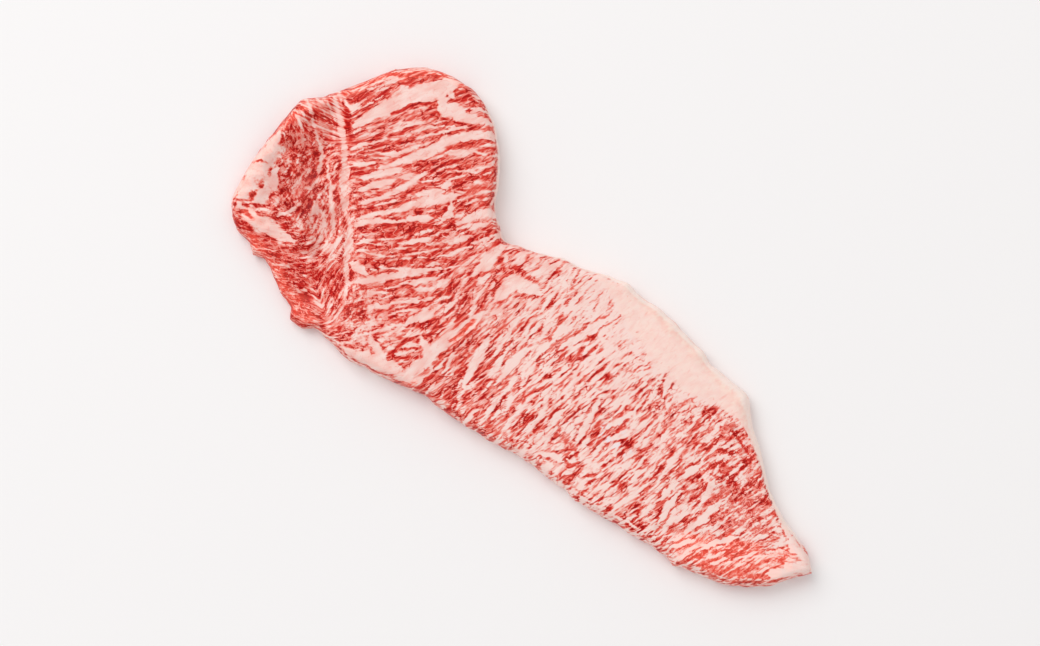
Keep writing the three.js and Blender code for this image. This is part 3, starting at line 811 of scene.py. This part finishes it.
def maths(tree, operation, first, second=0.0, third=0.0):
    return addNode(tree, "ShaderNodeMath", {0: first, 1: second, 2: third}, operation=operation).outputs[0]


def mapped(tree, value, low, high, toLow=0.0, toHigh=1.0):
    sockets = {"Value": value, "From Min": low, "From Max": high, "To Min": toLow, "To Max": toHigh}
    return addNode(tree, "ShaderNodeMapRange", sockets, interpolation_type="SMOOTHSTEP").outputs["Result"]


def mixedColor(tree, share, first, second, mode="MIX"):
    node = addNode(tree, "ShaderNodeMix", {"Factor": share}, data_type="RGBA", blend_type=mode)
    for socket, value in ((node.inputs[6], first), (node.inputs[7], second)):
        if isinstance(value, bpy.types.NodeSocket):
            tree.links.new(value, socket)
        else:
            socket.default_value = value
    return node.outputs[2]


def colorRamp(tree, value, stops):
    node = addNode(tree, "ShaderNodeValToRGB", {"Fac": value})
    ramped = node.color_ramp
    while len(ramped.elements) < len(stops):
        ramped.elements.new(1.0)
    for element, (place, color) in zip(ramped.elements, stops):
        element.position = place
        element.color = color
    return node.outputs["Color"]


def newGroup(name, inputs, outputs):
    tree = bpy.data.node_groups.new(name, "ShaderNodeTree")
    for label, default in inputs:
        socket = tree.interface.new_socket(label, in_out="INPUT", socket_type="NodeSocketFloat")
        socket.default_value = default
    for label in outputs:
        tree.interface.new_socket(label, in_out="OUTPUT", socket_type="NodeSocketFloat")
    return tree, tree.nodes.new("NodeGroupInput").outputs, tree.nodes.new("NodeGroupOutput").inputs


def fibreGroup():
    # Streaks that follow the grain, from about -1 to 1
    tree, given, result = newGroup("grainFibres", (("Across", 0), ("Along", 0), ("Width", 1), ("Length", 4),
                                                   ("Layer", 0)), ("Value",))
    place = addNode(tree, "ShaderNodeCombineXYZ", {
        "X": maths(tree, "DIVIDE", given["Across"], given["Width"]),
        "Y": maths(tree, "DIVIDE", given["Along"], given["Length"]),
        "Z": given["Layer"]}).outputs[0]
    noise = addNode(tree, "ShaderNodeTexNoise", {
        "Vector": place, "Scale": 1.0, "Detail": 1.0, "Roughness": 0.5})
    tree.links.new(mapped(tree, noise.outputs["Fac"], 0.22, 0.78, -1.0, 1.0), result["Value"])
    return tree


# Finish of the meat: how red each marbling value is, and the colours of that redness in soft light
meatFinish = {
    "redness": (  # marbling value and redness
        (-1.2, 0.88), (-0.7, 0.72), (-0.3, 0.6), (0.1, 0.46), (0.4, 0.29), (0.7, 0.14),
        (1.0, 0.06), (1.4, 0.02),
    ),
    "ramp": (  # redness and colour
        (0.0, paint(252, 221, 213)),
        (0.14, paint(248, 197, 187)),
        (0.3, paint(244, 165, 153)),
        (0.45, paint(238, 125, 111)),
        (0.6, paint(227, 83, 69)),
        (0.74, paint(210, 42, 34)),
        (0.88, paint(186, 13, 11)),
        (1.05, paint(154, 4, 4)),
    ),
    "rim": 0.42,  # redness added where fat meets lean
    "rimAt": 0.2,  # marbling value there
    "rimSoftness": 0.4,
    "rimPatch": (3.0, 9.0),  # mm across and along the grain over which the rims come and go
    "threadWidths": (1.9, 1.1, 0.65),  # mm
    "threadLengths": (8.0, 5.0, 3.0),
    "threadStrength": (0.25, 0.65, 0.6),  # marbling value that each adds at most
    "speckWidths": (1.9, 1.1),  # mm, where the marbling is finest
    "speckStrength": (0.5, 0.5),
    "lineWidths": (2.6, 1.7, 1.3),  # mm between thin dark lines
    "lineLengths": (10.0, 5.0, 2.4),
    "lineThin": (0.11, 0.15, 0.17),
    "lineStrength": (0.48, 0.5, 0.42),
    "netWidths": (2.0, 1.3, 2.2),  # mm between thin pale lines
    "netLengths": (3.6, 2.4, 7.0),
    "netThin": (0.13, 0.16, 0.15),
    "netStrength": 0.34,
    "layers": {  # start and step of each kind of fibre in the noise
        "threads": (0.0, 3.7), "rims": (20.3, 0), "lines": (31.1, 5.3), "breaks": (47.9, 5.3),
        "blush": (61.9, 0), "net": (71.3, 5.3), "gleam": (83.1, 0), "mottle": (91.7, 0),
        "specks": (101.3, 3.7),
    },
    "tailLighter": 0.17,  # redness taken from the tail's lean
    "pallor": (0.03, -0.07),  # redness added to fat at the head and the tail
    "deeperAndShaded": (0.17, 0.13),  # redness added to dark spots and to painted shade in grooves and hollows, at the head and the tail
    "warm": paint(240, 100, 80),
    # painted highlight: the colour of the wet glint
    "paintedSheen": paint(240, 232, 238),
    "warmPaintedLight": (1.1, 1.05, 1.03, 1.0),  # painted light: brightens the lumps that stand up into the light
    "shade": paint(236, 222, 220),  # painted shade: darkens the hollow of the flap
    "cream": paint(255, 228, 214),
    "creamPink": paint(252, 202, 189),
    "litWhiteFat": paint(255, 234, 225),
    "gritSize": 0.4,  # mm
    "subsurface": 0.06,
    "specular": 0.1,
    "coat": 0.04,
}


def throughStops(tree, value, stops):
    low, high = stops[0][0], stops[-1][0]
    share = addNode(tree, "ShaderNodeMapRange", {"Value": value, "From Min": low, "From Max": high})
    places = [((stop - low) / (high - low), tint) for stop, tint in stops]
    return colorRamp(tree, share.outputs["Result"], places)


def meatMaterial():
    finish = meatFinish
    material = bpy.data.materials.new("marbledMeat")
    material.use_nodes = True
    tree = material.node_tree
    tree.nodes.clear()
    seen = {name: addNode(tree, "ShaderNodeAttribute", attribute_name=name).outputs["Fac"]
            for name in meatMaps}
    fibres = fibreGroup()

    def fibre(width, length, kind, index=0):
        start, step = finish["layers"][kind]
        sockets = {"Across": seen["across"], "Along": seen["along"], "Width": width, "Length": length,
                   "Layer": start + step * index}
        return addNode(tree, "ShaderNodeGroup", sockets, node_tree=fibres).outputs["Value"]

    def thinLine(width, length, thin, core, kind, index):
        # A line wherever the fibres pass through their middle value
        away = maths(tree, "ABSOLUTE", fibre(width, length, kind, index))
        return mapped(tree, away, thin, core * thin)

    finest = mapped(tree, seen["threads"], 0.87, 0.96)
    mixedZone = mapped(tree, seen["fatness"], 1.0, 0.55, 0.2, 1.0)
    threadShare = maths(tree, "MULTIPLY", seen["threads"], mixedZone)
    threadShare = maths(tree, "MULTIPLY", threadShare, mapped(tree, seen["tailward"], 0.0, 1.0, 1.0, 1.25))
    value = seen["fatness"]
    for layer, (width, length, strength) in enumerate(zip(finish["threadWidths"], finish["threadLengths"],
                                                          finish["threadStrength"])):
        thread = maths(tree, "MULTIPLY", fibre(width, length, "threads", layer), strength)
        value = maths(tree, "MULTIPLY_ADD", thread, threadShare, value)
    for layer, (width, strength) in enumerate(zip(finish["speckWidths"], finish["speckStrength"])):
        speck = maths(tree, "MULTIPLY", fibre(width, 1.5 * width, "specks", layer), strength)
        value = maths(tree, "MULTIPLY_ADD", speck, maths(tree, "MULTIPLY", finest, mixedZone), value)
    redStops = [(stop, (level, level, level, 1)) for stop, level in finish["redness"]]
    redness = throughStops(tree, value, redStops)
    # The tail's lean is paler between its dark lines
    lighter = mapped(tree, seen["tailward"], 0.0, 1.0, 0.0, -finish["tailLighter"])
    redness = maths(tree, "MULTIPLY_ADD", mapped(tree, redness, 0.45, 0.85), lighter, redness)
    rimAway = maths(tree, "ABSOLUTE", maths(tree, "SUBTRACT", seen["fatness"], finish["rimAt"]))
    rim = mapped(tree, rimAway, finish["rimSoftness"], 0.0)
    rim = maths(tree, "MULTIPLY", rim, mapped(tree, fibre(*finish["rimPatch"], "rims"), -0.3, 0.4))
    redness = maths(tree, "MULTIPLY_ADD", rim, finish["rim"], redness)

    # Thin dark lines that come and go along the grain
    shares = (maths(tree, "SUBTRACT", 1.0, finest), 1.0, finest)
    for layer, (width, length, thin, strength) in enumerate(zip(finish["lineWidths"], finish["lineLengths"],
                                                                finish["lineThin"], finish["lineStrength"])):
        line = thinLine(width, length, thin, 0.25, "lines", layer)
        broken = mapped(tree, fibre(2.4 * width, 0.8 * length, "breaks", layer), -0.2, 0.25)
        line = maths(tree, "MULTIPLY", maths(tree, "MULTIPLY", line, broken), mixedZone)
        line = maths(tree, "MULTIPLY", line, shares[layer])
        redness = maths(tree, "MULTIPLY_ADD", line, strength, redness)

    # Thin pale lines over the lean: a net where it is finest, long streaks elsewhere
    shares = (finest, finest, maths(tree, "SUBTRACT", 1.0, finest))
    for layer, (width, length, thin) in enumerate(zip(finish["netWidths"], finish["netLengths"],
                                                      finish["netThin"])):
        line = maths(tree, "MULTIPLY", thinLine(width, length, thin, 0.2, "net", layer), shares[layer])
        line = maths(tree, "MULTIPLY", line, mapped(tree, redness, 0.3, 0.6))
        redness = maths(tree, "MULTIPLY_ADD", line, -finish["netStrength"], redness)

    place = addNode(tree, "ShaderNodeTexCoord").outputs["Object"]
    grit = addNode(tree, "ShaderNodeTexNoise", {"Vector": place, "Scale": 1 / (finish["gritSize"] * mm),
                                                "Detail": 2.0}).outputs["Fac"]
    redness = maths(tree, "MULTIPLY_ADD", maths(tree, "SUBTRACT", grit, 0.5), 0.12, redness)
    redness = maths(tree, "MULTIPLY_ADD", fibre(2.6, 6.0, "blush"), 0.08, redness)
    redness = maths(tree, "MULTIPLY_ADD", seen["warmthAndLight"], -0.03, redness)
    pallor = mapped(tree, seen["tailward"], 0.0, 1.0, *finish["pallor"])
    redness = maths(tree, "MULTIPLY_ADD", mapped(tree, redness, 0.5, 0.2), pallor, redness)
    leanness = mapped(tree, redness, 0.3, 0.6)
    # Darker red at the dark spots: partly the lean's own tone, partly painted shade
    deeperAndShaded = maths(tree, "MULTIPLY", mapped(tree, seen["tailward"], 0.0, 1.0, *finish["deeperAndShaded"]), leanness)
    redness = maths(tree, "MULTIPLY_ADD", seen["depth"], deeperAndShaded, redness)
    color = throughStops(tree, redness, finish["ramp"])
    # Painted shade over the hollow of the flap
    color = mixedColor(tree, seen["shade"], color, finish["shade"], "MULTIPLY")
    warmer = maths(tree, "MULTIPLY", seen["warmthAndLight"], maths(tree, "MULTIPLY_ADD", leanness, 0.34, 0.1))
    color = mixedColor(tree, warmer, color, finish["warm"])
    # Painted light: the lumps that stand up into the light are brightened
    color = mixedColor(tree, mapped(tree, seen["warmthAndLight"], 0.35, 1.0), color, finish["warmPaintedLight"], "MULTIPLY")
    # Painted highlight: a pale glint mixed into the colour over the glint spots
    gleam = mapped(tree, fibre(2.2, 3.0, "gleam"), -0.1, 0.6, 0.0, 0.7)
    gleam = maths(tree, "MULTIPLY", gleam, mapped(tree, redness, 0.6, 0.1))
    color = mixedColor(tree, maths(tree, "MULTIPLY", seen["paintedGlint"], gleam), color, finish["paintedSheen"])
    mottle = maths(tree, "MULTIPLY_ADD", fibre(1.6, 3.0, "mottle"), 0.45, grit)
    creamTint = mixedColor(tree, mottle, finish["creamPink"], finish["cream"])
    color = mixedColor(tree, maths(tree, "MULTIPLY", seen["cream"], 0.9), color, creamTint)
    # White fat at the rims, whitened further with painted light
    color = mixedColor(tree, maths(tree, "MULTIPLY", seen["litWhiteFat"], 0.85), color, finish["litWhiteFat"])
    roughness = maths(tree, "MULTIPLY_ADD", leanness, -0.12, maths(tree, "MULTIPLY_ADD", grit, 0.12, 0.42))
    relief = maths(tree, "MULTIPLY_ADD", grit, 0.25, maths(tree, "MULTIPLY", redness, -1.0))
    bump = addNode(tree, "ShaderNodeBump", {"Height": relief, "Strength": 0.3, "Distance": 0.08 * mm})
    surface = addNode(tree, "ShaderNodeBsdfPrincipled", {
        "Base Color": color, "Roughness": roughness, "Normal": bump.outputs["Normal"],
        "Subsurface Weight": finish["subsurface"], "Subsurface Radius": (1.0, 0.35, 0.25),
        "Subsurface Scale": 0.3 * mm, "Specular IOR Level": finish["specular"],
        "Coat Weight": finish["coat"], "Coat Roughness": 0.14})
    output = addNode(tree, "ShaderNodeOutputMaterial")
    tree.links.new(surface.outputs[0], output.inputs["Surface"])
    return material


# A plain pale table, soft light from the upper left and a camera almost straight above
stageLook = {
    "floorSize": 4.0,
    "floorColor": paint(248, 246, 246),
    "skyStrength": 0.675,
    "keyPower": 53,
    "keySize": 2.4,
    "keyAt": (-1.5, 1.6, 2.6),
    "target": (0.0002, 0.001, 0.006),
    "distance": 1.0,
    "elevation": 85.7,
    "frameWidth": 0.395,  # metres across the picture at the target
}


def buildStage():
    look = stageLook
    half = 0.5 * look["floorSize"]
    mesh = bpy.data.meshes.new("paleTable")
    corners = [(-half, -half, 0), (half, -half, 0), (half, half, 0), (-half, half, 0)]
    mesh.from_pydata(corners, [], [(0, 1, 2, 3)])
    table = bpy.data.objects.new("paleTable", mesh)
    bpy.context.scene.collection.objects.link(table)
    material = bpy.data.materials.new("paleTable")
    material.use_nodes = True
    tree = material.node_tree
    shader = tree.nodes["Principled BSDF"]
    shader.inputs["Base Color"].default_value = look["floorColor"]
    shader.inputs["Roughness"].default_value = 0.65
    mesh.materials.append(material)

    world = bpy.data.worlds.new("softSky")
    bpy.context.scene.world = world
    world.use_nodes = True
    world.node_tree.nodes["Background"].inputs["Color"].default_value = (1, 0.995, 0.99, 1)
    world.node_tree.nodes["Background"].inputs["Strength"].default_value = look["skyStrength"]

    lamp = bpy.data.lights.new("softWindow", "AREA")
    lamp.shape = "SQUARE"
    lamp.size = look["keySize"]
    lamp.energy = look["keyPower"]
    window = bpy.data.objects.new("softWindow", lamp)
    window.location = look["keyAt"]
    window.rotation_euler = window.location.to_track_quat("Z", "Y").to_euler()
    bpy.context.scene.collection.objects.link(window)

    lens = bpy.data.cameras.new("aboveCamera")
    lens.sensor_width = 36
    lens.lens = 36 * look["distance"] / look["frameWidth"]
    camera = bpy.data.objects.new("aboveCamera", lens)
    tilt = math.radians(look["elevation"])
    camera.location = (look["target"][0], look["target"][1] - look["distance"] * math.cos(tilt),
                       look["target"][2] + look["distance"] * math.sin(tilt))
    camera.rotation_euler = (math.radians(90) - tilt, 0, 0)
    bpy.context.scene.collection.objects.link(camera)
    bpy.context.scene.camera = camera
    bpy.context.scene.view_settings.view_transform = "Standard"
    print("stage set")


steak = buildSteak()
steak.data.materials.append(meatMaterial())
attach(steak, "root")
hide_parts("steak")
buildStage()
